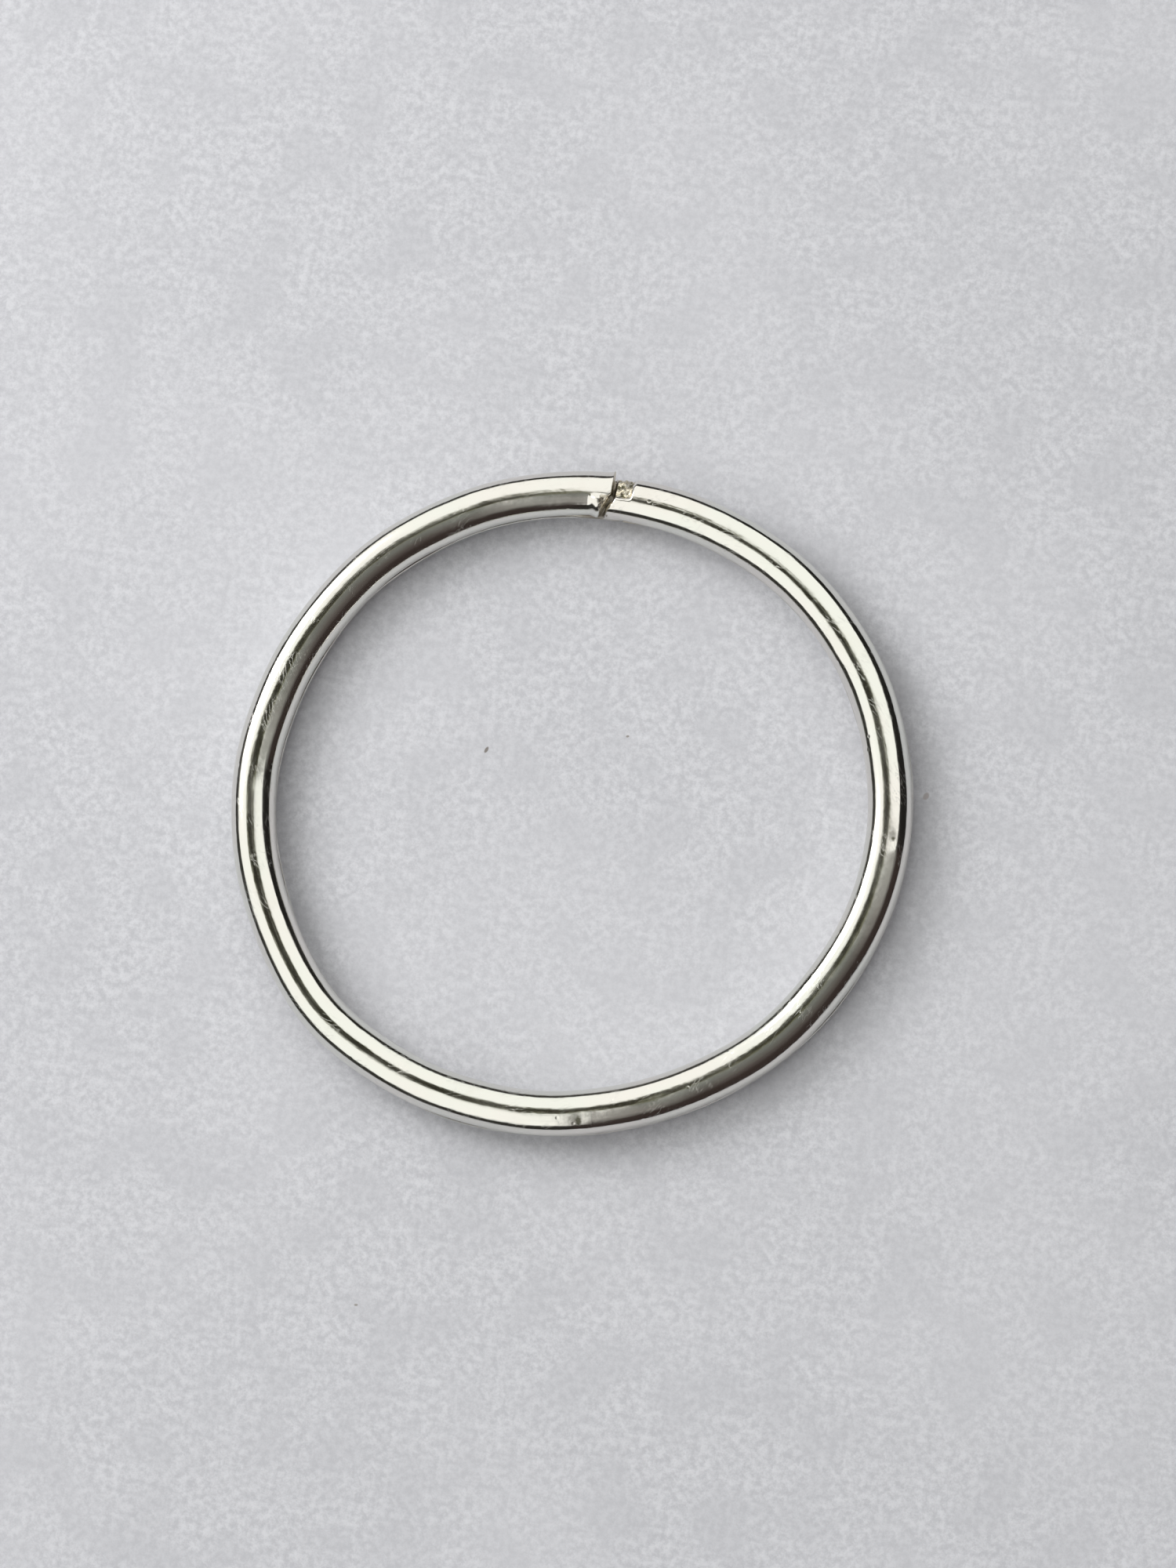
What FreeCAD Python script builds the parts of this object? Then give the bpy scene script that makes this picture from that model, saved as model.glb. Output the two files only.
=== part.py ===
import FreeCAD
import Part
import math
import os
import Sketcher

# Split key ring: one length of half-round spring wire wound into two turns that lie flat on flat, so that
# the two turns together have a round section.
#
# Frame: millimetres, +Z up. The ring lies flat on z = 0, its axis is the Z axis and the split is at +Y.
# Angles along the wire are in degrees, clockwise from +Y as seen from above. Followed clockwise, the wire
# runs: lower free end, lower turn, crossover (where it climbs), upper turn, upper free end.
#
# The wire is a single piece of steel. The real upper turn opens by twisting a little everywhere along its
# length, so it is divided into stretches that meet face to face, and each stretch is a sub-part.

DIMENSIONS = (
    ("outer_diameter", 30.0),  # over the outside of the ring
    ("section_diameter", 2.0),  # both turns together; each turn is half of this thick
    ("turn_gap", 0.02),  # free space between the two flats when the ring is closed
    ("edge_round", 0.10),  # radius where a flat meets the round side
    ("root_reach", 60.0),  # angle at which the fixed part of the upper turn ends
    ("stretch_reach", 30.0),  # angle covered by each twisting stretch
    ("crossover_reach", 9.0),  # the crossover ends this many degrees each side of +Y
    ("climb_reach", 7.0),  # half of the arc inside the crossover that holds the climb
    ("climb_angle", 62.0),  # how steeply the wire climbs
    ("climb_slant", 35.0),  # level lines of the climb lean this much from the radial direction
    ("climb_web", 0.80),  # thickness of the climbing wire, square to its slope
    ("end_gap", 0.05),  # free space between a free end and the foot of the climb
)
TWISTING_STRETCHES = 8  # whole stretches between the fixed part of the upper turn and its free end
UPPER, LOWER = 1, -1

SHEET = "Dimensions"
cell = {alias: f"{SHEET}.{alias}" for alias, value in DIMENSIONS}

# Lengths worked out from the sheet, as expressions.
SECTION_RADIUS = f"({cell['section_diameter']} / 2)"
MEAN_RADIUS = f"(({cell['outer_diameter']} - {cell['section_diameter']}) / 2)"
MIDDLE_HEIGHT = SECTION_RADIUS
HALF_GAP = f"({cell['turn_gap']} / 2)"
TOOL_REACH = f"(2 * {cell['section_diameter']})"  # clears the wire on every side
# From +Y to the foot of the climb, square to its level lines.
FOOT = f"(({cell['climb_web']} / 2 + {HALF_GAP} * cos({cell['climb_angle']})) / sin({cell['climb_angle']}))"
# From +Y to a free end, along the middle of the wire.
END = f"(({FOOT} + {cell['end_gap']}) / cos({cell['climb_slant']}))"
# How far the slant carries a level line sideways over the width of a cutting tool.
SLANT_SHIFT = f"({cell['section_diameter']} * tan({cell['climb_slant']}))"

doc = FreeCAD.newDocument("split_key_ring")


def make_sheet():
    """The driving dimensions, one alias each."""
    sheet = doc.addObject("Spreadsheet::Sheet", SHEET)
    for row, (alias, value) in enumerate(DIMENSIONS, start=1):
        sheet.set(f"A{row}", str(value))
        sheet.setAlias(f"A{row}", alias)
    doc.recompute()
    return sheet


def value_of(expression):
    """What an expression comes to now. It gives a sketch's geometry its starting place."""
    return float(sheet.evalExpression(expression))


def point(x, y):
    return FreeCAD.Vector(x, y, 0)


def new_body(label, angle):
    """An empty body whose own X axis points at the given angle along the wire."""
    body = doc.addObject("PartDesign::Body", label)
    body.Label = label
    body.Placement.Rotation = FreeCAD.Rotation(FreeCAD.Vector(0, 0, 1), 90)
    body.setExpression("Placement.Rotation.Angle", f"90 - ({angle})")
    return body


def new_sketch(body, plane_role, name):
    """A sketch on one of the body's own origin planes."""
    sketch = body.newObject("Sketcher::SketchObject", f"{body.Name}_{name}")
    plane = next(f for f in body.Origin.OriginFeatures if f.Role == plane_role)
    sketch.AttachmentSupport = [(plane, "")]
    sketch.MapMode = "FlatFace"
    return sketch


def bind(sketch, constraint, expression):
    """Adds a dimension to the sketch and ties it to the sheet."""
    index = sketch.addConstraint(constraint)
    sketch.setExpression(f"Constraints[{index}]", expression)


def bind_radius(sketch, curve, expression):
    bind(sketch, Sketcher.Constraint("Radius", curve, value_of(expression)), expression)


def bind_point(sketch, curve, end, x, y):
    """Ties one point of a curve to the sketch's origin."""
    bind(sketch, Sketcher.Constraint("DistanceX", -1, 1, curve, end, value_of(x)), x)
    bind(sketch, Sketcher.Constraint("DistanceY", -1, 1, curve, end, value_of(y)), y)


def draw_polygon(sketch, corners):
    """A closed polygon whose corners are pairs of expressions."""
    starts = [point(value_of(x), value_of(y)) for x, y in corners]
    count = len(corners)
    for index in range(count):
        sketch.addGeometry(Part.LineSegment(starts[index], starts[(index + 1) % count]))
    for index in range(count):
        sketch.addConstraint(Sketcher.Constraint("Coincident", index, 2, (index + 1) % count, 1))
    for index, (x, y) in enumerate(corners):
        bind_point(sketch, index, 1, x, y)


def draw_round_section(sketch):
    """The round section of both turns together."""
    centre = point(value_of(MEAN_RADIUS), value_of(MIDDLE_HEIGHT))
    circle = sketch.addGeometry(Part.Circle(centre, FreeCAD.Vector(0, 0, 1), value_of(SECTION_RADIUS)))
    bind_radius(sketch, circle, SECTION_RADIUS)
    bind_point(sketch, circle, 3, MEAN_RADIUS, MIDDLE_HEIGHT)


def draw_half_section(sketch, turn):
    """One turn: half of the round section, with its two corners rounded."""
    section_radius = value_of(SECTION_RADIUS)
    mean_radius = value_of(MEAN_RADIUS)
    middle = value_of(MIDDLE_HEIGHT)
    half_gap = value_of(HALF_GAP)
    corner_radius = value_of(cell["edge_round"])
    corner_rise = half_gap + corner_radius
    corner_offset = math.sqrt((section_radius - corner_radius) ** 2 - corner_rise**2)
    corner_angle = math.atan2(corner_rise, corner_offset)
    inner = mean_radius - corner_offset
    outer = mean_radius + corner_offset
    down = 1.5 * math.pi

    def add_arc(x, height, radius, first, last):
        """Height above the middle and angles are for the upper turn; the lower turn mirrors them."""
        if turn == LOWER:
            first, last = -last, -first
        circle = Part.Circle(point(x, middle + turn * height), FreeCAD.Vector(0, 0, 1), radius)
        return sketch.addGeometry(Part.ArcOfCircle(circle, first, last))

    side = add_arc(mean_radius, 0, section_radius, corner_angle, math.pi - corner_angle)
    inner_corner = add_arc(inner, corner_rise, corner_radius, math.pi - corner_angle, down)
    outer_corner = add_arc(outer, corner_rise, corner_radius, down, 2 * math.pi + corner_angle)
    flat_height = middle + turn * half_gap
    flat = sketch.addGeometry(Part.LineSegment(point(inner, flat_height), point(outer, flat_height)))

    first, last = (1, 2) if turn == UPPER else (2, 1)  # the ends of an arc, in the upper turn's order
    sketch.addConstraint(Sketcher.Constraint("Tangent", outer_corner, last, side, first))
    sketch.addConstraint(Sketcher.Constraint("Tangent", side, last, inner_corner, first))
    sketch.addConstraint(Sketcher.Constraint("Tangent", inner_corner, last, flat, 1))
    sketch.addConstraint(Sketcher.Constraint("Tangent", flat, 2, outer_corner, first))
    bind_radius(sketch, side, SECTION_RADIUS)
    bind_radius(sketch, inner_corner, cell["edge_round"])
    bind_radius(sketch, outer_corner, cell["edge_round"])
    bind_point(sketch, side, 3, MEAN_RADIUS, MIDDLE_HEIGHT)
    flat_place = f"{MIDDLE_HEIGHT} + {turn} * {HALF_GAP}"
    bind(sketch, Sketcher.Constraint("DistanceY", -1, 1, flat, 1, flat_height), flat_place)


def turn_section(body, sketch, angle, clockwise=False, both_ways=False):
    """Turns a section about the ring's axis."""
    feature = body.newObject("PartDesign::Revolution", f"{sketch.Name}_turned")
    feature.Profile = sketch
    feature.ReferenceAxis = (sketch, ["V_Axis"])
    feature.Reversed = clockwise
    feature.Midplane = both_ways
    feature.setExpression("Angle", angle)


def cut_out(body, sketch):
    """Cuts a sketch out of the body, far enough to both sides of its plane to clear the wire."""
    feature = body.newObject("PartDesign::Pocket", f"{sketch.Name}_cut")
    feature.Profile = sketch
    feature.Midplane = True
    feature.setExpression("Length", f"2 * {TOOL_REACH}")


def make_stretch(label, first, last):
    """A plain stretch of the upper turn between two angles."""
    body = new_body(label, last)
    section = new_sketch(body, "XZ_Plane", "section")
    draw_half_section(section, UPPER)
    turn_section(body, section, f"({last}) - ({first})")


def make_upper_end():
    """The last stretch of the upper turn, with its cut end."""
    body = new_body("upper_free_end", "0")
    section = new_sketch(body, "XZ_Plane", "section")
    draw_half_section(section, UPPER)
    turn_section(body, section, f"360 - {LAST_STRETCH}")

    # The outer half of the end is cut square and the inner half follows the slant of the climb.
    outline = new_sketch(body, "XY_Plane", "end_outline")
    inside = f"{MEAN_RADIUS} - {cell['section_diameter']}"
    outside = f"{MEAN_RADIUS} + {cell['section_diameter']}"
    corners = (
        (outside, END),
        (MEAN_RADIUS, END),
        (inside, f"{END} + {SLANT_SHIFT}"),
        (inside, f"-{SECTION_RADIUS}"),
        (outside, f"-{SECTION_RADIUS}"),
    )
    draw_polygon(outline, corners)
    cut_out(body, outline)


def make_lower_turn():
    """The lower turn, from its free end below the climb to the start of the crossover."""
    body = new_body("lower_turn", "0")
    section = new_sketch(body, "XZ_Plane", "section")
    draw_half_section(section, LOWER)
    turn_section(body, section, f"360 - {cell['crossover_reach']}", clockwise=True)

    outline = new_sketch(body, "XY_Plane", "end_outline")
    inside = f"{MEAN_RADIUS} - {cell['section_diameter']}"
    outside = f"{MEAN_RADIUS} + {cell['section_diameter']}"
    corners = (
        (inside, f"{SLANT_SHIFT} - {END}"),
        (outside, f"-{SLANT_SHIFT} - {END}"),
        (outside, SECTION_RADIUS),
        (inside, SECTION_RADIUS),
    )
    draw_polygon(outline, corners)
    cut_out(body, outline)


def cut_beside_climb(body, turn):
    """Clears the room of a free end: above the climb for the upper turn, below it for the lower one.

    The sketch stands square to the level lines of the climb and its x axis points against the wire's run.
    """
    sketch = new_sketch(body, "YZ_Plane", "above_climb" if turn == UPPER else "below_climb")
    about_height = FreeCAD.Rotation(FreeCAD.Vector(0, -1, 0), value_of(cell["climb_slant"]))
    sketch.AttachmentOffset = FreeCAD.Placement(FreeCAD.Vector(0, 0, value_of(MEAN_RADIUS)), about_height)
    sketch.setExpression("AttachmentOffset.Base.z", MEAN_RADIUS)
    sketch.setExpression("AttachmentOffset.Rotation.Angle", cell["climb_slant"])

    near = f"{MIDDLE_HEIGHT} - {turn} * {HALF_GAP}"
    far = f"{near} + {turn} * {TOOL_REACH}"
    beyond_top = f"{turn} * ({FOOT} - {TOOL_REACH} / tan({cell['climb_angle']}))"
    corners = (
        (f"{turn} * {TOOL_REACH}", near),
        (f"{turn} * {FOOT}", near),
        (beyond_top, far),
        (f"{turn} * {TOOL_REACH}", far),
    )
    draw_polygon(sketch, corners)
    cut_out(body, sketch)


def make_crossover():
    """Where the wire climbs from the lower turn to the upper one, between the two free ends."""
    body = new_body("crossover", "0")
    whole = new_sketch(body, "XZ_Plane", "whole_section")
    draw_round_section(whole)
    turn_section(body, whole, f"2 * {cell['climb_reach']}", both_ways=True)
    for turn, name in ((LOWER, "lower_section"), (UPPER, "upper_section")):
        section = new_sketch(body, "XZ_Plane", name)
        draw_half_section(section, turn)
        turn_section(body, section, cell["crossover_reach"], clockwise=(turn == UPPER))
    for turn in (UPPER, LOWER):
        cut_beside_climb(body, turn)


def write_parts():
    """Stops on any object in error, then writes one STEP file for each body."""
    doc.recompute()
    broken = [o.Label for o in doc.Objects if "Invalid" in o.State or "Error" in o.State]
    bodies = [o for o in doc.Objects if o.TypeId == "PartDesign::Body"]
    broken += [o.Label for o in bodies if o.Shape.isNull() or not o.Shape.isValid()]
    broken += [o.Label for o in bodies if len(o.Shape.Solids) != 1]
    if broken:
        raise RuntimeError(f"not usable: {broken}")
    os.makedirs("parts", exist_ok=True)
    for body in bodies:
        body.Shape.exportStep(f"parts/{body.Label}.step")
        print(f"{body.Label}: {body.Shape.Volume:.4f} mm3")


sheet = make_sheet()
LAST_STRETCH = f"({cell['root_reach']} + {TWISTING_STRETCHES} * {cell['stretch_reach']})"
make_lower_turn()
make_crossover()
make_stretch("upper_turn_root", cell["crossover_reach"], cell["root_reach"])
for number in range(1, TWISTING_STRETCHES + 1):
    begin = f"{cell['root_reach']} + {number - 1} * {cell['stretch_reach']}"
    make_stretch(f"upper_turn_{number}", begin, f"{begin} + {cell['stretch_reach']}")
make_upper_end()
write_parts()
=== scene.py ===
import math

import bpy
import numpy as np
from mathutils import Matrix, Vector


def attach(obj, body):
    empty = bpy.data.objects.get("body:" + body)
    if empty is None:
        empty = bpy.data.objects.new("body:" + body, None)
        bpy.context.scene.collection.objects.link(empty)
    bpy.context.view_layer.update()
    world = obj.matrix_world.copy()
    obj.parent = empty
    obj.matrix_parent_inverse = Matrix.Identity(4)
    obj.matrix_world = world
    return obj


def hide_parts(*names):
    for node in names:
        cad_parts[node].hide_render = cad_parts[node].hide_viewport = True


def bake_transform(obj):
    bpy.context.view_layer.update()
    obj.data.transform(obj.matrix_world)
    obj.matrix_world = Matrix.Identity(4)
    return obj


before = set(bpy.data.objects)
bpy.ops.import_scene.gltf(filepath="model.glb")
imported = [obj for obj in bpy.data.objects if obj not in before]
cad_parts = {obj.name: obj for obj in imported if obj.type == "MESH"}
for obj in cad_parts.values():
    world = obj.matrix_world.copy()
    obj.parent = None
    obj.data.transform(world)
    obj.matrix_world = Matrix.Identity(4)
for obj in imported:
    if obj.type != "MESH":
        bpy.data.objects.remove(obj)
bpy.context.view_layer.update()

# The wire is shaped straight, in millimetres, and then bent round the ring. A place on it is given by
# x along it, clockwise from +Y, u outwards from its middle, and z up from the floor.
MM = 0.001
MEAN_RADIUS = 14.0  # of the ring, at the middle of the wire
SECTION_RADIUS = 1.0  # of the two turns together
MIDDLE_HEIGHT = SECTION_RADIUS
TURN_GAP = 0.02  # between the two flats
EDGE_SOFTNESS = 0.20  # how wide the rounding of a flat's edge is
CROSSOVER_REACH = 9.0  # degrees each side of +Y
FIRST_HINGE = 60.0  # degrees clockwise from +Y
HINGE_STEP = 30.0
HINGES = 9
CLIMB_ANGLE = math.radians(62)
CLIMB_SLANT = math.radians(35)
CLIMB_FOOT = 0.458  # from +Y to the foot of the climb, square to its level lines
END = 0.62  # from +Y to a free end, along the wire

# Every piece counts x from +Y. These are the degrees to add to count along both turns.
LOWER = 0
UPPER = 360
UPPER_END = 720

# The direction that the camera's picture shows as up, in degrees clockwise from +Y.
PICTURE_UP = -10.7


# ---------------------------------------------------------------- shape of the wire


def soft_max(a, b, width):
    """The larger of the two, with the edge between them rounded."""
    near = np.maximum(width - np.abs(a - b), 0) / width
    return np.maximum(a, b) + near * near * width / 4


def ramp(x, width):
    """0 below zero and x above, with a rounded corner."""
    return soft_max(x, np.zeros_like(x), width)


def smooth_step(x, low, high):
    """0 below low and 1 above high, with a smooth passage between them."""
    t = np.clip((x - low) / (high - low), 0, 1)
    return t * t * (3 - 2 * t)


# An uneven surface is a sum of waves. Each has a direction (x, u, z), a phase and a share.
LUMP_WAVES = (
    ((0.83, 0.41, 0.37), 0.7, 1.0),
    ((-0.52, 0.95, 0.21), 2.1, 1.0),
    ((0.29, -0.61, 0.88), 4.4, 1.0),
    ((1.71, 1.23, -0.46), 1.3, 0.6),
)


def lumps(x, u, z, size):
    """A repeatable uneven surface, about -1 to 1, with features of the given size."""
    total = 0
    for (along, outwards, up), phase, share in LUMP_WAVES:
        place = along * x + outwards * u + up * z
        total = total + share * np.sin(2 * math.pi / size * place + phase)
    return total / 3.0


# The functions that follow are negative inside the metal and positive outside it.

SQUARENESS = 2.35  # of the two turns' section together: 2 is a circle, and more is a flatter crown


def outside_round(x, u, z):
    across = np.abs(u) ** SQUARENESS + np.abs(z - MIDDLE_HEIGHT) ** SQUARENESS
    return across ** (1 / SQUARENESS) - SECTION_RADIUS


def outside_upper(x, u, z):
    return soft_max(outside_round(x, u, z), MIDDLE_HEIGHT + TURN_GAP / 2 - z, EDGE_SOFTNESS)


def outside_lower(x, u, z):
    return soft_max(outside_round(x, u, z), z - MIDDLE_HEIGHT + TURN_GAP / 2, EDGE_SOFTNESS)


WALL_OUTER = -0.50  # x of the foot of the wall that the upper end faces, at its outer edge
WALL_MIDDLE = -0.56
WALL_SLANT = 0.53  # how fast the wall draws back on the inner half
WALL_STEEPNESS = 6.0
WALL_SOFTNESS = 0.06
SLANT_FROM = -0.12  # u at which the wall and the upper end start to slant inwards
FOOT_SOFTNESS = 0.10
CROWN_LOSS = 0.05  # by which the crown is lower over the climb
PATCH_END = 0.30  # x at which the rough patch gives way to smooth wire
PATCH_DEPTH = 0.16
PATCH_ROUGHNESS = 0.062
PATCH_LUMP = 0.46  # size of the patch's lumps


def wall_foot(u):
    """The x at which the wall starts to climb."""
    outer = WALL_MIDDLE + (WALL_OUTER - WALL_MIDDLE) * smooth_step(u, 0.0, 0.9)
    return outer + WALL_SLANT * np.minimum(u - SLANT_FROM, 0)


def patch_weight(x, u):
    """1 on the rough patch that the pinching tool left on the climb, fading to 0."""
    before_smooth = 1 - smooth_step(x, PATCH_END - 0.16, PATCH_END + 0.05 + 0.08 * u)
    return before_smooth * smooth_step(u, -0.20, 0.06) * smooth_step(x, -2.2, -0.9)


def patch_lumps(x, u, z):
    """The uneven surface of the rough patch: above 0 in its hollows."""
    return lumps(x, u, z, PATCH_LUMP) + 0.5 * lumps(u, x, z, 0.22)


def outside_crossover(x, u, z):
    """The climbing wire."""
    run = x * math.cos(CLIMB_SLANT) - u * math.sin(CLIMB_SLANT)
    steep = math.tan(CLIMB_ANGLE)
    top = MIDDLE_HEIGHT - TURN_GAP / 2 + WALL_STEEPNESS * ramp(x - wall_foot(u), WALL_SOFTNESS)
    bottom = MIDDLE_HEIGHT + TURN_GAP / 2 - steep * ramp(CLIMB_FOOT - run, FOOT_SOFTNESS)
    patch = patch_weight(x, u) * (PATCH_DEPTH + PATCH_ROUGHNESS * patch_lumps(x, u, z))
    lower_crown = CROWN_LOSS * (1 - smooth_step(x, -0.9, 1.6)) * smooth_step(z, 0.95, 1.2)
    round_part = outside_round(x, u, z) + patch + lower_crown
    return soft_max(soft_max(round_part, z - top, 0.10), bottom - z, EDGE_SOFTNESS)


END_STEP = 0.07  # by which the inner half of the upper end is shorter
END_SLANT = math.radians(28)
END_SOFTNESS = 0.05
PINCH_FOOT = -1.68  # x at which the pinched swelling starts
PINCH_RIDGE = -1.24
PINCH_RISE = 0.12
PINCH_BRUISE = 0.022  # height of the lumps on the swelling
FLARE_FROM = -1.15  # x from which the outer corner flares
FLARE_RISE = 0.075


def outside_upper_end(x, u, z):
    """The upper free end: cut square outside, slanted inside, and swollen where a tool pinched it."""
    inner = 1 - smooth_step(u, -0.38, -0.14)
    rise = smooth_step(x, PINCH_FOOT, PINCH_RIDGE) - 0.8 * smooth_step(x, PINCH_RIDGE + 0.06, -0.86)
    swelling = PINCH_RISE * inner * rise * smooth_step(z, 0.95, 1.25)
    near_end = np.clip((x - FLARE_FROM) / (-END - FLARE_FROM), 0, 1)
    flare = FLARE_RISE * near_end**2.5 * smooth_step(u, 0.1, 0.9)
    bruise = PINCH_BRUISE * lumps(x, u, z, 0.30) * smooth_step(x, -1.25, -1.0) * inner
    round_part = outside_round(x, u, z) - swelling - flare + bruise
    shape = soft_max(round_part, MIDDLE_HEIGHT + TURN_GAP / 2 - z, EDGE_SOFTNESS)
    square = x + END
    step = END_STEP * (1 - smooth_step(u, -0.16, -0.04))
    slanted = square + step - math.tan(END_SLANT) * np.minimum(u - SLANT_FROM, 0)
    shape = soft_max(shape, square, END_SOFTNESS)
    return soft_max(shape, slanted * math.cos(END_SLANT), END_SOFTNESS)


def outside_lower_end(x, u, z):
    """The lower free end, hidden below the climb."""
    slanted = (END - x + u * math.tan(CLIMB_SLANT)) * math.cos(CLIMB_SLANT)
    return soft_max(outside_lower(x, u, z), slanted, 0.06)


# ---------------------------------------------------------------- bends, knocks, dirt and painted shade

# The ring isn't quite round: it is drawn out by OVAL along one width, and was bent a little in use.
# A bend has the angle of its middle, its offset outwards and its spread in degrees. Both turns share
# most of them. The angle of a bend of one turn's own is counted along both turns.
OVAL = 0.16
OVAL_ANGLE = 68
SHARED_BENDS = (
    (219, 0.19, 12),
    (161, -0.10, 15),
    (259, -0.07, 10),
    (98, 0.065, 20),
    (277, -0.13, 12),
    (243, -0.08, 9),
    (336, 0.05, 12),
    (145, -0.05, 11),
    (14, -0.09, 20),
    (292, -0.08, 12),
)
OWN_BENDS = ((717, 0.06, 10), (377, -0.04, 9))
# Fine unevenness that a wire keeps from being coiled: angle per wave and height.
WOBBLES = ((23, 0.010), (37, 0.014), (61, 0.012))


def bend(angle):
    """Offset of the wire's middle from a true circle, at an angle counted along both turns."""
    offset = OVAL * np.cos(2 * np.radians(angle - OVAL_ANGLE))
    for centre, height, spread in SHARED_BENDS:
        for turns in (0, 360):
            offset = offset + height * np.exp(-(((angle - centre - turns) / spread) ** 2))
    for centre, height, spread in OWN_BENDS:
        offset = offset + height * np.exp(-(((angle - centre) / spread) ** 2))
    for wave, height in WOBBLES:
        offset = offset + height * np.sin(2 * math.pi * angle / wave)
    return offset


def onto_ring(points, turns):
    """Bends straight places round the ring. turns is LOWER, UPPER or UPPER_END."""
    angle = points[..., 0] / MEAN_RADIUS
    radius = MEAN_RADIUS + points[..., 1] + bend(np.degrees(angle) + turns)
    return np.stack([radius * np.sin(angle), radius * np.cos(angle), points[..., 2]], axis=-1)


# A mark on the upper turn has an angle from +Y, a place on the section in degrees outwards from its
# crest, and a half width along and across the wire. A knock has its depth after them.
KNOCKS = (
    (167.0, 26, 0.30, 0.34, 0.010),
    (164.0, 18, 0.60, 0.20, 0.005),
    (159.0, 27, 0.70, 0.14, 0.005),
    (153.0, 5, 0.60, 0.18, 0.010),
    (87.5, 14, 0.30, 0.16, 0.014),
    (89.5, 24, 0.35, 0.20, -0.008),
    (264.0, -8, 0.50, 0.25, 0.012),
    (240.0, 30, 0.30, 0.15, 0.008),
    (52.0, -30, 0.35, 0.15, 0.008),
    (305.0, -28, 0.40, 0.18, 0.010),
)
# Dark dirt caught in the deepest marks has its strength after them.
DIRT = (
    (167.3, 25, 0.17, 0.26, 0.85),
    (87.2, 16, 0.14, 0.12, 0.7),
    (265.5, 2, 0.50, 0.05, 0.5),
)
PRESSED_FROM = -5.0  # x from which the crest is pressed down, more and more towards the upper end
PRESSED_DEPTH = 0.17


def place_on_section(points):
    """Degrees outwards from the crest."""
    return np.degrees(np.arctan2(points[..., 1], points[..., 2] - MIDDLE_HEIGHT))


def mark_weight(points, angle, side, half_along, half_across):
    """1 in the middle of a mark, fading to 0 round it."""
    degrees = np.degrees(points[..., 0] / MEAN_RADIUS) % 360
    along = np.radians(degrees - angle) * MEAN_RADIUS / half_along
    across = np.radians(place_on_section(points) - side) * SECTION_RADIUS / half_across
    return np.exp(-(along**2) - across**2)


def dented(points, turns):
    """Straight places of the upper turn pushed in at the knocks and pressed down towards its end."""
    if turns == LOWER:
        return points
    place = np.radians(place_on_section(points))
    out = points.copy()
    for *mark, depth in KNOCKS:
        push = depth * mark_weight(points, *mark)
        out[..., 1] -= push * np.sin(place)
        out[..., 2] -= push * np.cos(place)
    if turns == UPPER_END:
        share = np.clip((points[..., 0] - PRESSED_FROM) / (-END - PRESSED_FROM), 0, 1) ** 2
        on_crest = smooth_step(points[..., 2], MIDDLE_HEIGHT, MIDDLE_HEIGHT + 0.8)
        out[..., 2] -= PRESSED_DEPTH * share * on_crest
    return out


def soil_and_shade(points, turns):
    """How dark the metal is painted, 0 to 1: dirt in a few marks, and painted shade in the hollows of
    the rough patch.
    """
    x, u, z = points[:, 0], points[:, 1], points[:, 2]
    dirt_and_shade = np.zeros(len(points))
    if turns == LOWER:
        return dirt_and_shade
    for *mark, strength in DIRT:
        dirt_and_shade = np.maximum(dirt_and_shade, strength * mark_weight(points, *mark))
    if turns == UPPER:
        # Painted shade in the hollows of the rough patch.
        hollow_shade = smooth_step(patch_lumps(x, u, z), 0.15, 0.9) * patch_weight(x, u)
        dirt_and_shade = np.maximum(dirt_and_shade, hollow_shade * smooth_step(z, 0.9, 1.2))
    return dirt_and_shade


def worn(points, turns):
    """How bruised and dull the plating is, 0 to 1: only near the split."""
    x, u, z = points[:, 0], points[:, 1], points[:, 2]
    if turns == UPPER:
        return patch_weight(x, u) * smooth_step(z, 0.9, 1.2)
    if turns == UPPER_END:
        inner = 1 - smooth_step(u, -0.30, -0.08)
        falling = smooth_step(x, PINCH_RIDGE + 0.02, PINCH_RIDGE + 0.20)
        end_face = smooth_step(x, -END - 0.05, -END - 0.01)
        return np.clip(inner * falling * 0.9 + end_face * 0.8, 0, 1)
    return 0.5 * (1 - smooth_step(x, 0.8, 1.6))


# ---------------------------------------------------------------- meshes

FLAT_TO_CENTRE = 0.43  # from the middle height to the point inside a turn that its rays start from
UPPER_CENTRE = MIDDLE_HEIGHT + FLAT_TO_CENTRE
LOWER_CENTRE = MIDDLE_HEIGHT - FLAT_TO_CENTRE
RAY_REACH = 2.4  # longer than any ray's way out of the metal
HALVINGS = 26  # of a ray, to find where it leaves the metal
ALONG_STEP = 0.75  # degrees between the slices of a plain stretch
AROUND = 120  # points round a slice
CAP_RINGS = 56
CROSSOVER_SLICES = 150
CLIMB_HALF = 0.9  # half of the length over which the rays' start climbs to the upper turn
UPPER_FINE_FROM = -2.2  # x from which the upper end has fine slices
UPPER_CAP_BASE = np.array([-1.15, 0.05, 1.40])  # inside the end, where its cap's rays start
LOWER_FINE_TO = 2.6  # x up to which the lower end has fine slices
LOWER_CAP_BASE = np.array([END + 0.9, 0.0, LOWER_CENTRE])


def cast(outside, start, direction):
    """Where each ray from start leaves the metal."""
    near = np.zeros(direction.shape[:-1])
    far = np.full(direction.shape[:-1], RAY_REACH)
    for _ in range(HALVINGS):
        middle = (near + far) / 2
        where = start + direction * middle[..., None]
        inside = outside(where[..., 0], where[..., 1], where[..., 2]) < 0
        near = np.where(inside, middle, near)
        far = np.where(inside, far, middle)
    return start + direction * far[..., None]


def slice_rays():
    """Directions (x, u, z) round a slice."""
    turn = np.linspace(0, 2 * math.pi, AROUND, endpoint=False)
    return np.stack([np.zeros(AROUND), np.sin(turn), np.cos(turn)], axis=-1)


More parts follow.
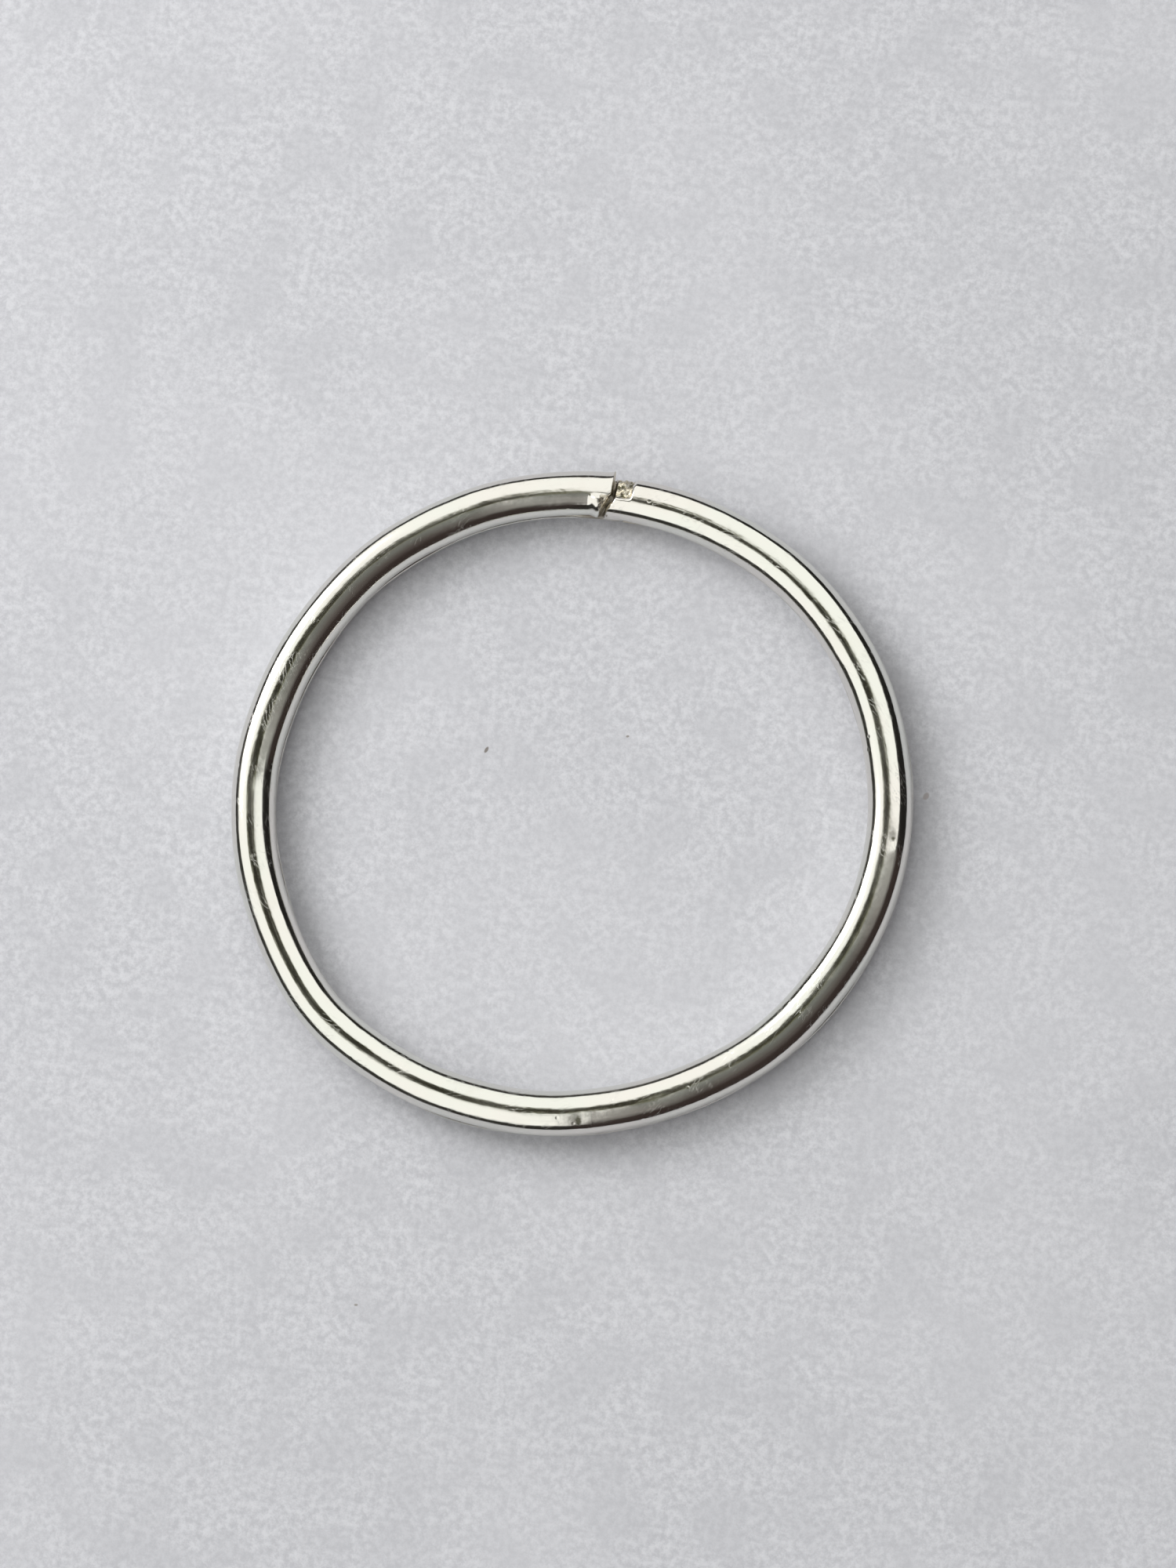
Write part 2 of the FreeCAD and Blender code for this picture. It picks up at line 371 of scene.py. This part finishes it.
def plain_slices(outside, height, first, last):
    """Slices of one turn between two angles."""
    count = max(2, round((last - first) / ALONG_STEP) + 1)
    section = cast(outside, np.array([0.0, 0.0, height]), slice_rays())
    slices = np.repeat(section[None], count, axis=0)
    along = np.radians(np.linspace(first, last, count)) * MEAN_RADIUS
    slices[..., 0] = along[:, None]
    return slices


def fine_slices(outside, along, heights, across=0.0):
    """Slices whose shape changes along the wire."""
    starts = [np.array([x, across, height]) for x, height in zip(along, heights)]
    return np.array([cast(outside, start, slice_rays()) for start in starts])


def end_cap(outside, base, way):
    """Slices that close a free end, and its tip. base is inside the wire, and way is 1 or -1 along x."""
    lean = np.radians(np.linspace(0, 90, CAP_RINGS + 1))[1:-1]
    directions = np.cos(lean)[:, None, None] * slice_rays()[None]
    directions[..., 0] += way * np.sin(lean)[:, None]
    cap = cast(outside, base, directions)
    tip = cast(outside, base, np.array([[way, 0.0, 0.0]]))[0]
    return cap, tip


def tube_faces(rings, around, first_pole, last_pole):
    """Quads between the rings and a fan at each end."""
    faces = []
    for ring in range(rings - 1):
        for place in range(around):
            following = (place + 1) % around
            a = ring * around
            b = a + around
            faces.append((a + place, b + place, b + following, a + following))
    last = (rings - 1) * around
    for place in range(around):
        following = (place + 1) % around
        faces.append((first_pole, place, following))
        faces.append((last_pole, last + following, last + place))
    return faces


def set_on_points(mesh, name, kind, field, values):
    layer = mesh.attributes.new(name, kind, "POINT")
    layer.data.foreach_set(field, values.astype(np.float32).ravel())


def make_tube(name, slices, turns, first_pole, last_pole, joined_ends):
    """A closed skin from slices. joined_ends are those that meet another piece: 0, -1 or both."""
    rings, around = slices.shape[:2]
    straight = np.concatenate([slices.reshape(-1, 3), [first_pole], [last_pole]])
    bent = onto_ring(dented(straight, turns), turns) * MM
    count = rings * around
    mesh = bpy.data.meshes.new(name)
    mesh.from_pydata(bent.tolist(), [], tube_faces(rings, around, count, count + 1))
    mesh.shade_smooth()

    unrolled = straight.copy()
    unrolled[:, 0] += math.radians(turns) * MEAN_RADIUS
    unrolled[:, 2] -= MIDDLE_HEIGHT
    set_on_points(mesh, "straight", "FLOAT_VECTOR", "vector", unrolled)
    set_on_points(mesh, "worn", "FLOAT", "value", worn(straight, turns))
    # Dirt in a few marks and painted shade in the hollows of the rough patch.
    set_on_points(mesh, "soil_and_shade", "FLOAT", "value", soil_and_shade(straight, turns))

    sharp = set()
    for end in joined_ends:
        start = (end % rings) * around
        sharp |= {frozenset((start + p, start + (p + 1) % around)) for p in range(around)}
    flags = mesh.attributes.new("sharp_edge", "BOOLEAN", "EDGE")
    flags.data.foreach_set("value", [frozenset(edge.vertices) in sharp for edge in mesh.edges])
    mesh.update()
    piece = bpy.data.objects.new(name, mesh)
    bpy.context.scene.collection.objects.link(piece)
    return piece


def plain_piece(name, first, last):
    """A stretch of the upper turn between two angles."""
    slices = plain_slices(outside_upper, UPPER_CENTRE, first, last)
    poles = [np.array([slices[i, 0, 0], 0.0, UPPER_CENTRE]) for i in (0, -1)]
    return make_tube(name, slices, UPPER, poles[0], poles[1], (0, -1))


def upper_end_piece(name, first):
    """From an angle to the upper free end."""
    start = math.radians(first - 360) * MEAN_RADIUS
    fine_from = 360 + math.degrees(UPPER_FINE_FROM / MEAN_RADIUS)
    coarse = plain_slices(outside_upper, UPPER_CENTRE, first, fine_from)
    coarse[..., 0] -= 2 * math.pi * MEAN_RADIUS
    base_x, base_u, base_z = UPPER_CAP_BASE
    along = np.linspace(UPPER_FINE_FROM, base_x, 30)[1:]
    heights = np.linspace(UPPER_CENTRE, base_z, len(along))
    fine = fine_slices(outside_upper_end, along, heights, base_u)
    cap, tip = end_cap(outside_upper_end, UPPER_CAP_BASE, 1)
    slices = np.concatenate([coarse, fine, cap])
    return make_tube(name, slices, UPPER_END, np.array([start, 0, UPPER_CENTRE]), tip, (0,))


def lower_turn_piece(name):
    """From the lower free end round to the crossover."""
    cap, tip = end_cap(outside_lower_end, LOWER_CAP_BASE, -1)
    along = np.linspace(LOWER_CAP_BASE[0], LOWER_FINE_TO, 16)
    fine = fine_slices(outside_lower_end, along, np.full(len(along), LOWER_CENTRE))
    coarse_from = math.degrees(LOWER_FINE_TO / MEAN_RADIUS)
    coarse = plain_slices(outside_lower, LOWER_CENTRE, coarse_from, 360 - CROSSOVER_REACH)
    slices = np.concatenate([cap[::-1], fine, coarse[1:]])
    last = np.array([coarse[-1, 0, 0], 0, LOWER_CENTRE])
    return make_tube(name, slices, LOWER, tip, last, (-1,))


def crossover_piece(name):
    """From the end of the lower turn up to the start of the upper one."""
    reach = math.radians(CROSSOVER_REACH) * MEAN_RADIUS
    along = np.linspace(-reach, reach, CROSSOVER_SLICES)
    climb = np.clip((along / CLIMB_HALF + 1) / 2, 0, 1)
    heights = LOWER_CENTRE + (UPPER_CENTRE - LOWER_CENTRE) * climb
    slices = fine_slices(outside_crossover, along, heights)
    first = np.array([-reach, 0, LOWER_CENTRE])
    last = np.array([reach, 0, UPPER_CENTRE])
    return make_tube(name, slices, UPPER, first, last, (0, -1))


# ---------------------------------------------------------------- materials


class Nodes:
    """Makes shader nodes and joins them, for one material or world."""

    def __init__(self, tree):
        self.tree = tree
        tree.nodes.clear()

    def add(self, kind, **settings):
        node = self.tree.nodes.new("ShaderNode" + kind)
        for name, value in settings.items():
            setattr(node, name, value)
        return node

    def put(self, socket, value):
        """Joins an output to the socket, or sets a number or colour on it."""
        if isinstance(value, bpy.types.NodeSocket):
            self.tree.links.new(value, socket)
        else:
            socket.default_value = value

    def math(self, operation, first, second=0.0, clamp=False):
        node = self.add("Math", operation=operation, use_clamp=clamp)
        self.put(node.inputs[0], first)
        self.put(node.inputs[1], second)
        return node.outputs[0]

    def times(self, first, second):
        return self.math("MULTIPLY", first, second)

    def plus(self, first, second):
        return self.math("ADD", first, second)

    def centred(self, noise):
        """Noise that swings about 0 instead of a half."""
        return self.plus(noise, -0.5)

    def plus_parts(self, total, parts):
        """The total plus each part times its share."""
        for part, share in parts:
            total = self.plus(total, self.times(part, share))
        return total

    def split(self, vector):
        node = self.add("SeparateXYZ")
        self.put(node.inputs[0], vector)
        return node.outputs[0], node.outputs[1], node.outputs[2]

    def joined(self, x, y, z):
        node = self.add("CombineXYZ")
        for socket, value in zip(node.inputs, (x, y, z)):
            self.put(socket, value)
        return node.outputs[0]

    def vector_math(self, operation, *values):
        node = self.add("VectorMath", operation=operation)
        for socket, value in zip(node.inputs, values):
            self.put(socket, value)
        return node

    def scaled(self, vector, scale):
        return self.vector_math("MULTIPLY", vector, scale).outputs[0]

    def shifted(self, vector, offset):
        return self.vector_math("ADD", vector, offset).outputs[0]

    def length(self, vector):
        return self.vector_math("LENGTH", vector).outputs["Value"]

    def placed(self, vector, location, turn, size):
        """The vector measured from a location, along axes turned by some degrees, in units of size."""
        node = self.add("Mapping", vector_type="TEXTURE")
        self.put(node.inputs["Vector"], vector)
        node.inputs["Location"].default_value = location
        node.inputs["Rotation"].default_value = (0, 0, math.radians(turn))
        node.inputs["Scale"].default_value = size
        return node.outputs[0]

    def noise(self, vector, scale, detail=2.0, roughness=0.5):
        node = self.add("TexNoise")
        self.put(node.inputs["Vector"], vector)
        node.inputs["Scale"].default_value = scale
        node.inputs["Detail"].default_value = detail
        node.inputs["Roughness"].default_value = roughness
        return node.outputs[0]

    def cells(self, vector, scale):
        """Distance from the nearest of many scattered points."""
        node = self.add("TexVoronoi")
        self.put(node.inputs["Vector"], vector)
        node.inputs["Scale"].default_value = scale
        return node.outputs["Distance"]

    def fade(self, value, low, high, to_low=0.0, to_high=1.0):
        """A smooth passage from to_low at low to to_high at high."""
        node = self.add("MapRange", interpolation_type="SMOOTHSTEP")
        for socket, number in zip(node.inputs, (value, low, high, to_low, to_high)):
            self.put(socket, number)
        return node.outputs[0]

    def ramp(self, value, stops):
        """A colour ramp from (position, colour) pairs; a colour may be one grey number."""
        node = self.add("ValToRGB")
        self.put(node.inputs[0], value)
        band = node.color_ramp
        while len(band.elements) < len(stops):
            band.elements.new(1.0)
        for element, (position, colour) in zip(band.elements, stops):
            if not isinstance(colour, tuple):
                colour = (colour, colour, colour)
            element.position = position
            element.color = (*colour, 1)
        return node.outputs[0]

    def mixed(self, share, first, second):
        node = self.add("MixRGB")
        for socket, value in zip(node.inputs, (share, first, second)):
            if isinstance(value, tuple):
                value = (*value, 1)
            self.put(socket, value)
        return node.outputs[0]

    def bump(self, height, distance, strength):
        """A normal for a surface whose height is in units of distance."""
        node = self.add("Bump")
        node.inputs["Strength"].default_value = strength
        node.inputs["Distance"].default_value = distance
        self.put(node.inputs["Height"], height)
        return node.outputs[0]


def new_material(name):
    material = bpy.data.materials.new(name)
    material.use_nodes = True
    return material, Nodes(material.node_tree)


NICKEL_COOL = (0.780, 0.785, 0.735)
NICKEL_WARM = (0.800, 0.775, 0.735)
NICKEL_STAINED = (0.62, 0.58, 0.48)
BARE_DARK = (0.56, 0.50, 0.38)
BARE_PALE = (0.74, 0.70, 0.60)
# Painted shade for the seam between the two turns.
PAINTED_SEAM_SHADE = (0.13, 0.095, 0.065)
# Dark olive for dirt in a few marks and for painted shade in the hollows of the rough patch.
OLIVE_DIRT_AND_SHADE = (0.075, 0.075, 0.035)


def scratches(n, place):
    """Scratches that cross the wire at a slant, in some places only."""
    along, outwards, height = n.split(place)
    slant = n.joined(
        n.plus(n.times(along, 0.55), n.times(outwards, 1.3)),
        n.plus(n.times(outwards, 3.6), n.times(along, -2.1)),
        n.times(height, 1.4),
    )
    crossing = n.noise(n.shifted(slant, (7.3, 2.1, 4.4)), 1.35, 2.0, 0.55)
    line = n.fade(n.math("ABSOLUTE", n.centred(crossing)), 0.0, 0.012, 1.0, 0.0)
    return n.times(line, n.fade(n.noise(place, 0.8, 2.0), 0.50, 0.64))


def small_pits(n, place):
    """A few round pits, most of them where the surface is already uneven."""
    pits = n.fade(n.cells(n.scaled(place, (0.8, 1.0, 1.0)), 1.7), 0.05, 0.16, 1.0, 0.0)
    return n.times(pits, n.fade(n.noise(n.shifted(place, (31.0, 5.0, 9.0)), 0.45, 2.0), 0.48, 0.62))


def painted_seam_shade(n, place):
    """Painted shade along the line where the two turns meet."""
    height = n.split(place)[2]
    seam = n.fade(n.math("ABSOLUTE", height), 0.03, 0.16, 1.0, 0.0)
    patchy = n.noise(n.scaled(place, (0.6, 1.0, 1.0)), 1.6, 3.0)
    return n.times(seam, n.fade(patchy, 0.35, 0.70, 0.35, 1.0))


def nickel_colour(n, place, bruised, worn_through, dirt_and_shade, seam_shade):
    warmth = n.noise(n.scaled(place, (0.5, 1.0, 1.0)), 0.42, 3.0)
    tint = n.mixed(n.fade(warmth, 0.35, 0.65), NICKEL_COOL, NICKEL_WARM)
    stains = n.noise(n.shifted(place, (3.0, 11.0, 1.0)), 0.7, 4.0, 0.6)
    tint = n.mixed(n.times(n.fade(stains, 0.55, 0.72), 0.10), tint, NICKEL_STAINED)
    bare = n.mixed(n.fade(bruised, 0.38, 0.62), BARE_DARK, BARE_PALE)
    colour = n.mixed(worn_through, tint, bare)
    # Dirt in a few marks and painted shade in the hollows of the rough patch.
    colour = n.mixed(n.times(dirt_and_shade, 0.85), colour, OLIVE_DIRT_AND_SHADE)
    # Painted shade along the seam between the two turns.
    return n.mixed(n.times(seam_shade, 0.75), colour, PAINTED_SEAM_SHADE)


def nickel_plate():
    """Bright nickel with drawing lines, scratches and small pits, dull and beige where it is worn, with
    dirt in a few marks and painted shade in the hollows of the rough patch and along the seam between
    the turns.
    """
    material, n = new_material("nickel_plate")
    place = n.add("Attribute", attribute_name="straight").outputs["Vector"]
    wear = n.add("Attribute", attribute_name="worn").outputs["Fac"]
    # Dirt in a few marks and painted shade in the hollows of the rough patch.
    soil_and_shade_share = n.add("Attribute", attribute_name="soil_and_shade").outputs["Fac"]

    drawing_lines = n.noise(n.scaled(place, (0.10, 9.0, 9.0)), 1.0, 3.0, 0.6)
    uneven = n.noise(n.scaled(place, (0.55, 1.0, 1.0)), 1.1, 3.0, 0.5)
    fine = n.noise(place, 9.0, 3.0, 0.6)
    bruised = n.noise(place, 5.5, 4.0, 0.65)
    scratch = scratches(n, place)
    # Painted shade along the seam between the two turns; it also makes the seam rougher.
    seam_shade = painted_seam_shade(n, place)
    wear_edge = n.plus(wear, n.times(n.centred(bruised), 0.9))
    worn_through = n.times(n.fade(wear_edge, 0.28, 0.55), n.fade(wear, 0.02, 0.12))
    dirt_and_shade = n.fade(n.plus(soil_and_shade_share, n.times(n.centred(bruised), 0.6)), 0.25, 0.60)

    hazy = n.noise(n.scaled(place, (0.3, 1.0, 1.0)), 1.3, 4.0, 0.6)
    roughness = n.plus_parts(
        n.fade(hazy, 0.30, 0.70, 0.075, 0.135),
        (
            (n.fade(drawing_lines, 0.45, 0.75), 0.05),
            (scratch, 0.12),
            (worn_through, 0.15),
            (dirt_and_shade, 0.20),
        ),
    )
    roughness = n.math("ADD", roughness, n.times(seam_shade, 0.35), clamp=True)

    # Heights in millimetres.
    relief = n.plus_parts(
        n.times(n.centred(drawing_lines), 0.0022),
        (
            (n.centred(uneven), 0.0150),
            (n.centred(fine), 0.0005),
            (scratch, -0.0012),
            (small_pits(n, place), -0.0045),
            (n.times(n.centred(bruised), worn_through), 0.05),
        ),
    )

    shader = n.add("BsdfPrincipled")
    shader.inputs["Metallic"].default_value = 1.0
    n.put(shader.inputs["Base Color"], nickel_colour(n, place, bruised, worn_through, dirt_and_shade, seam_shade))
    n.put(shader.inputs["Roughness"], roughness)
    n.put(shader.inputs["Normal"], n.bump(relief, MM, 1.0))
    n.put(n.add("OutputMaterial").inputs[0], shader.outputs[0])
    return material


wire_metal = nickel_plate()


# ---------------------------------------------------------------- pieces

FIXED = "lower_turn_and_crossover"
MOVING = [f"upper_turn_{k}" for k in range(1, HINGES)] + ["upper_free_end"]
HALF_STEP = HINGE_STEP / 2


def finish_piece(piece):
    piece.data.materials.append(wire_metal)
    return piece


def blend_at_hinge(piece):
    """Bakes the piece's placement into its mesh; the piece is not attached to a body."""
    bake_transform(piece)


lower = finish_piece(lower_turn_piece("lower_turn_wire"))
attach(lower, FIXED)
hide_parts("lower_turn")

crossing = finish_piece(crossover_piece("crossover_wire"))
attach(crossing, FIXED)
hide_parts("crossover")

root = plain_piece("upper_root_wire", CROSSOVER_REACH, FIRST_HINGE - HALF_STEP)
finish_piece(root)
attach(root, FIXED)
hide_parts("upper_turn_root")

for index, (before, after) in enumerate(zip([FIXED] + MOVING, MOVING)):
    hinge = FIRST_HINGE + index * HINGE_STEP
    piece = plain_piece(f"upper_wire_{index + 1}", hinge - HALF_STEP, hinge + HALF_STEP)
    finish_piece(piece)
    blend_at_hinge(piece)
    if after != "upper_free_end":
        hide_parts(after)

last_hinge = FIRST_HINGE + (HINGES - 1) * HINGE_STEP
end_piece = finish_piece(upper_end_piece("upper_end_wire", last_hinge + HALF_STEP))
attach(end_piece, "upper_free_end")
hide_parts("upper_free_end")


# ---------------------------------------------------------------- floor, light and camera


def picture_direction(angle):
    """A level direction given as the camera shows it: degrees clockwise from the top of its picture."""
    turn = math.radians(angle + PICTURE_UP)
    return Vector((math.sin(turn), math.cos(turn), 0))


PAPER_DARK = (0.610, 0.617, 0.672)
PAPER_LIGHT = (0.790, 0.798, 0.858)
PAPER_BLOTCH = (0.625, 0.632, 0.686)
PAPER_CLOUD = (0.770, 0.774, 0.836)
GRAIN_HEIGHT = 0.03 * MM
FLOOR_HALF = 2.0
# Each speck: its place to the right of and above the ring's centre as the camera sees it, its half
# length and half width in millimetres, its slant in degrees, and its colour.
SPECKS = (
    (-3.8, 2.6, 0.15, 0.07, 70, (0.20, 0.17, 0.15)),
    (2.5, 3.1, 0.07, 0.05, 20, (0.30, 0.27, 0.25)),
    (15.7, 0.2, 0.17, 0.12, 70, (0.50, 0.46, 0.47)),
    (-9.5, -22.0, 0.08, 0.05, 10, (0.34, 0.32, 0.30)),
)


def paper():
    """Pale matt paper with a fine grain and a few specks."""
    material, n = new_material("pale_paper")
    place = n.scaled(n.add("TexCoord").outputs["Object"], (1 / MM, 1 / MM, 1 / MM))
    grain = n.noise(place, 2.7, 5.0, 0.75)
    blotches = n.noise(place, 0.35, 4.0, 0.55)
    clouds = n.noise(place, 0.06, 2.0, 0.5)
    light = n.mixed(n.fade(grain, 0.34, 0.66), PAPER_DARK, PAPER_LIGHT)
    light = n.mixed(n.fade(blotches, 0.42, 0.66, 0.0, 0.50), light, PAPER_BLOTCH)
    light = n.mixed(n.fade(clouds, 0.40, 0.65, 0.0, 0.25), light, PAPER_CLOUD)
    for right_of, above, half_long, half_wide, slant, colour in SPECKS:
        middle = picture_direction(90) * right_of + picture_direction(0) * above
        spot = n.placed(place, (middle.x, middle.y, 0), slant, (half_long, half_wide, 1000.0))
        light = n.mixed(n.fade(n.length(spot), 0.7, 1.3, 0.85, 0.0), light, colour)
    shader = n.add("BsdfPrincipled")
    shader.inputs["Roughness"].default_value = 0.85
    shader.inputs["Specular IOR Level"].default_value = 0.2
    n.put(shader.inputs["Base Color"], light)
    n.put(shader.inputs["Normal"], n.bump(grain, GRAIN_HEIGHT, 0.6))
    n.put(n.add("OutputMaterial").inputs[0], shader.outputs[0])
    return material


def make_floor():
    mesh = bpy.data.meshes.new("floor")
    around = ((-1, -1), (1, -1), (1, 1), (-1, 1))
    mesh.from_pydata([(x * FLOOR_HALF, y * FLOOR_HALF, 0) for x, y in around], [], [(0, 1, 2, 3)])
    mesh.materials.append(paper())
    floor = bpy.data.objects.new("floor", mesh)
    bpy.context.scene.collection.objects.link(floor)


make_floor()

# The room that the metal mirrors: a bright tent, its open side below and to the right, and the dark
# shape of the camera overhead. Angles are in degrees. An azimuth is clockwise from the picture's top,
# and a place in the sky is measured from the zenith, to the right and up in the picture. The tent's
# lower edge has an elevation for each azimuth, and is highest on the right.
TENT_EDGE = (
    (0, 18),
    (20, 19),
    (30, 21),
    (45, 29),
    (60, 39),
    (75, 49),
    (90, 57),
    (100, 62),
    (175, 32),
    (185, 29),
    (200, 26),
    (230, 24),
    (260, 26),
    (290, 22),
    (320, 17),
    (345, 17),
    (360, 18),
)
TENT_EDGE_SOFTNESS = 0.016  # as a fraction of the way from the horizon to the zenith
TENT_COLOUR = (1.0, 1.0, 0.955)
TENT_STRENGTH = 1.16
BELOW_TENT = (
    (36, (0.014, 0.013, 0.012)),
    (160, (0.014, 0.013, 0.012)),
    (215, (0.030, 0.029, 0.026)),
)
# The open side is a sector about its apex: a share for each azimuth there. Its colours go from the
# horizon, 0, to the zenith, 1, where some azimuths are hazy.
OPEN_SIDE_APEX = (-5.7, 9.1)
OPEN_SIDE = ((0, 0), (98, 0), (98.8, 1), (176.5, 1), (179.5, 0), (360, 0))
OPEN_SIDE_COLOURS = (
    (0.0, (0.030, 0.022, 0.020)),
    (0.40, (0.040, 0.030, 0.027)),
    (0.66, (0.085, 0.072, 0.066)),
    (0.95, (0.15, 0.155, 0.14)),
)
HAZE = ((0, 0), (98, 0.75), (106, 0.60), (121, 0.05), (156, 0.0), (168, 0.35), (178, 0.62), (360, 0))
HAZE_COLOUR = (0.46, 0.46, 0.43)
CAMERA_SHAPE_AT = (-10.4, 7.2)
CAMERA_SHAPE_SIZE = (10.6, 6.9)
CAMERA_SHAPE_TURN = -4
CAMERA_SHAPE_COLOURS = (  # from its middle, 0, to its edge, 1
    (0.0, (0.018, 0.016, 0.012)),
    (0.76, (0.030, 0.028, 0.017)),
    (1.0, (0.19, 0.19, 0.08)),
)


def around_circle(stops):
    """Stops at fractions of a full turn, from stops at degrees."""
    return [(azimuth / 360, value) for azimuth, value in stops]


def make_world():
    """The room as a map of the sky."""
    world = bpy.data.worlds.new("studio")
    bpy.context.scene.world = world
    world.use_nodes = True
    n = Nodes(world.node_tree)
    level = n.add("VectorRotate", rotation_type="Z_AXIS")
    n.put(level.inputs["Vector"], n.add("TexCoord").outputs["Generated"])
    level.inputs["Angle"].default_value = math.radians(PICTURE_UP)
    x, y, z = n.split(level.outputs[0])
    elevation = n.times(n.math("ARCSINE", z), 2 / math.pi)
    from_zenith = n.times(n.math("ARCCOSINE", z), 180 / math.pi)
    level_length = n.math("SQRT", n.math("SUBTRACT", 1.0, n.times(z, z)))
    spread = n.math("DIVIDE", from_zenith, n.math("MAXIMUM", level_length, 0.001))
    sky_x = n.times(x, spread)
    sky_y = n.times(y, spread)

    def turn_about(centre):
        """Azimuth about a place in the sky, as a fraction of a full turn."""
        angle = n.math("ARCTAN2", n.plus(sky_x, -centre[0]), n.plus(sky_y, -centre[1]))
        return n.math("FRACT", n.times(angle, 1 / (2 * math.pi)))

    turn = turn_about((0, 0))
    edge = n.ramp(turn, [(azimuth / 360, height / 90) for azimuth, height in TENT_EDGE])
    above_edge = n.math("SUBTRACT", elevation, edge)
    tent = n.fade(above_edge, -TENT_EDGE_SOFTNESS, TENT_EDGE_SOFTNESS)
    colour = n.mixed(tent, n.ramp(turn, around_circle(BELOW_TENT)), TENT_COLOUR)

    side = turn_about(OPEN_SIDE_APEX)
    haze = n.times(n.ramp(side, around_circle(HAZE)), n.fade(elevation, 0.38, 0.62))
    open_colour = n.mixed(haze, n.ramp(elevation, OPEN_SIDE_COLOURS), HAZE_COLOUR)
    colour = n.mixed(n.ramp(side, around_circle(OPEN_SIDE)), colour, open_colour)

    sky = n.joined(sky_x, sky_y, 0.0)
    shape = n.placed(sky, (*CAMERA_SHAPE_AT, 0), CAMERA_SHAPE_TURN, (*CAMERA_SHAPE_SIZE, 1))
    from_middle = n.length(shape)
    inside_shape = n.fade(from_middle, 0.85, 1.15, 1.0, 0.0)
    colour = n.mixed(inside_shape, colour, n.ramp(from_middle, CAMERA_SHAPE_COLOURS))

    background = n.add("Background")
    n.put(background.inputs["Color"], colour)
    background.inputs["Strength"].default_value = TENT_STRENGTH
    n.put(n.add("OutputWorld").inputs[0], background.outputs[0])


make_world()

KEY_AZIMUTH = 303  # in degrees clockwise from the picture's top
KEY_ELEVATION = math.radians(36)
KEY_DISTANCE = 0.22
KEY_WIDTH = 0.13
KEY_POWER = 0.176
KEY_COLOUR = (1.0, 0.99, 0.97)


def make_key_light():
    """A soft light that gives the floor its shadows."""
    data = bpy.data.lights.new("key", "AREA")
    data.shape = "DISK"
    data.size = KEY_WIDTH
    data.energy = KEY_POWER
    data.color = KEY_COLOUR
    key = bpy.data.objects.new("key", data)
    bpy.context.scene.collection.objects.link(key)
    toward = picture_direction(KEY_AZIMUTH) * math.cos(KEY_ELEVATION)
    toward += Vector((0, 0, math.sin(KEY_ELEVATION)))
    key.location = toward * KEY_DISTANCE
    key.rotation_mode = "QUATERNION"
    key.rotation_quaternion = toward.to_track_quat("Z", "Y")


make_key_light()

# The camera looks down at a slight tilt, with a long lens.
TILT = math.radians(10.8)
TILT_AZIMUTH = 148  # where it stands, in degrees clockwise from the picture's top
CAMERA_DISTANCE = 0.28
FRAME_HEIGHT = 0.0692  # of what the frame shows at the ring, in metres
AIM_RIGHT = 0.00083  # from the ring's centre to the middle of the frame, in metres
AIM_UP = 0.00083


def make_camera():
    data = bpy.data.cameras.new("camera")
    data.sensor_width = 36
    data.lens = data.sensor_width * CAMERA_DISTANCE / FRAME_HEIGHT
    data.clip_start = 0.01
    data.clip_end = 20
    camera = bpy.data.objects.new("camera", data)
    bpy.context.scene.collection.objects.link(camera)
    bpy.context.scene.camera = camera
    toward = picture_direction(TILT_AZIMUTH) * math.sin(TILT) + Vector((0, 0, math.cos(TILT)))
    right = picture_direction(0).cross(toward)
    right.normalize()
    up = toward.cross(right)
    aim = Vector((0, 0, MIDDLE_HEIGHT * MM)) + right * AIM_RIGHT + up * AIM_UP
    camera.location = aim + toward * CAMERA_DISTANCE
    camera.rotation_mode = "QUATERNION"
    camera.rotation_quaternion = Matrix((right, up, toward)).transposed().to_quaternion()


make_camera()

bpy.context.scene.view_settings.view_transform = "Standard"
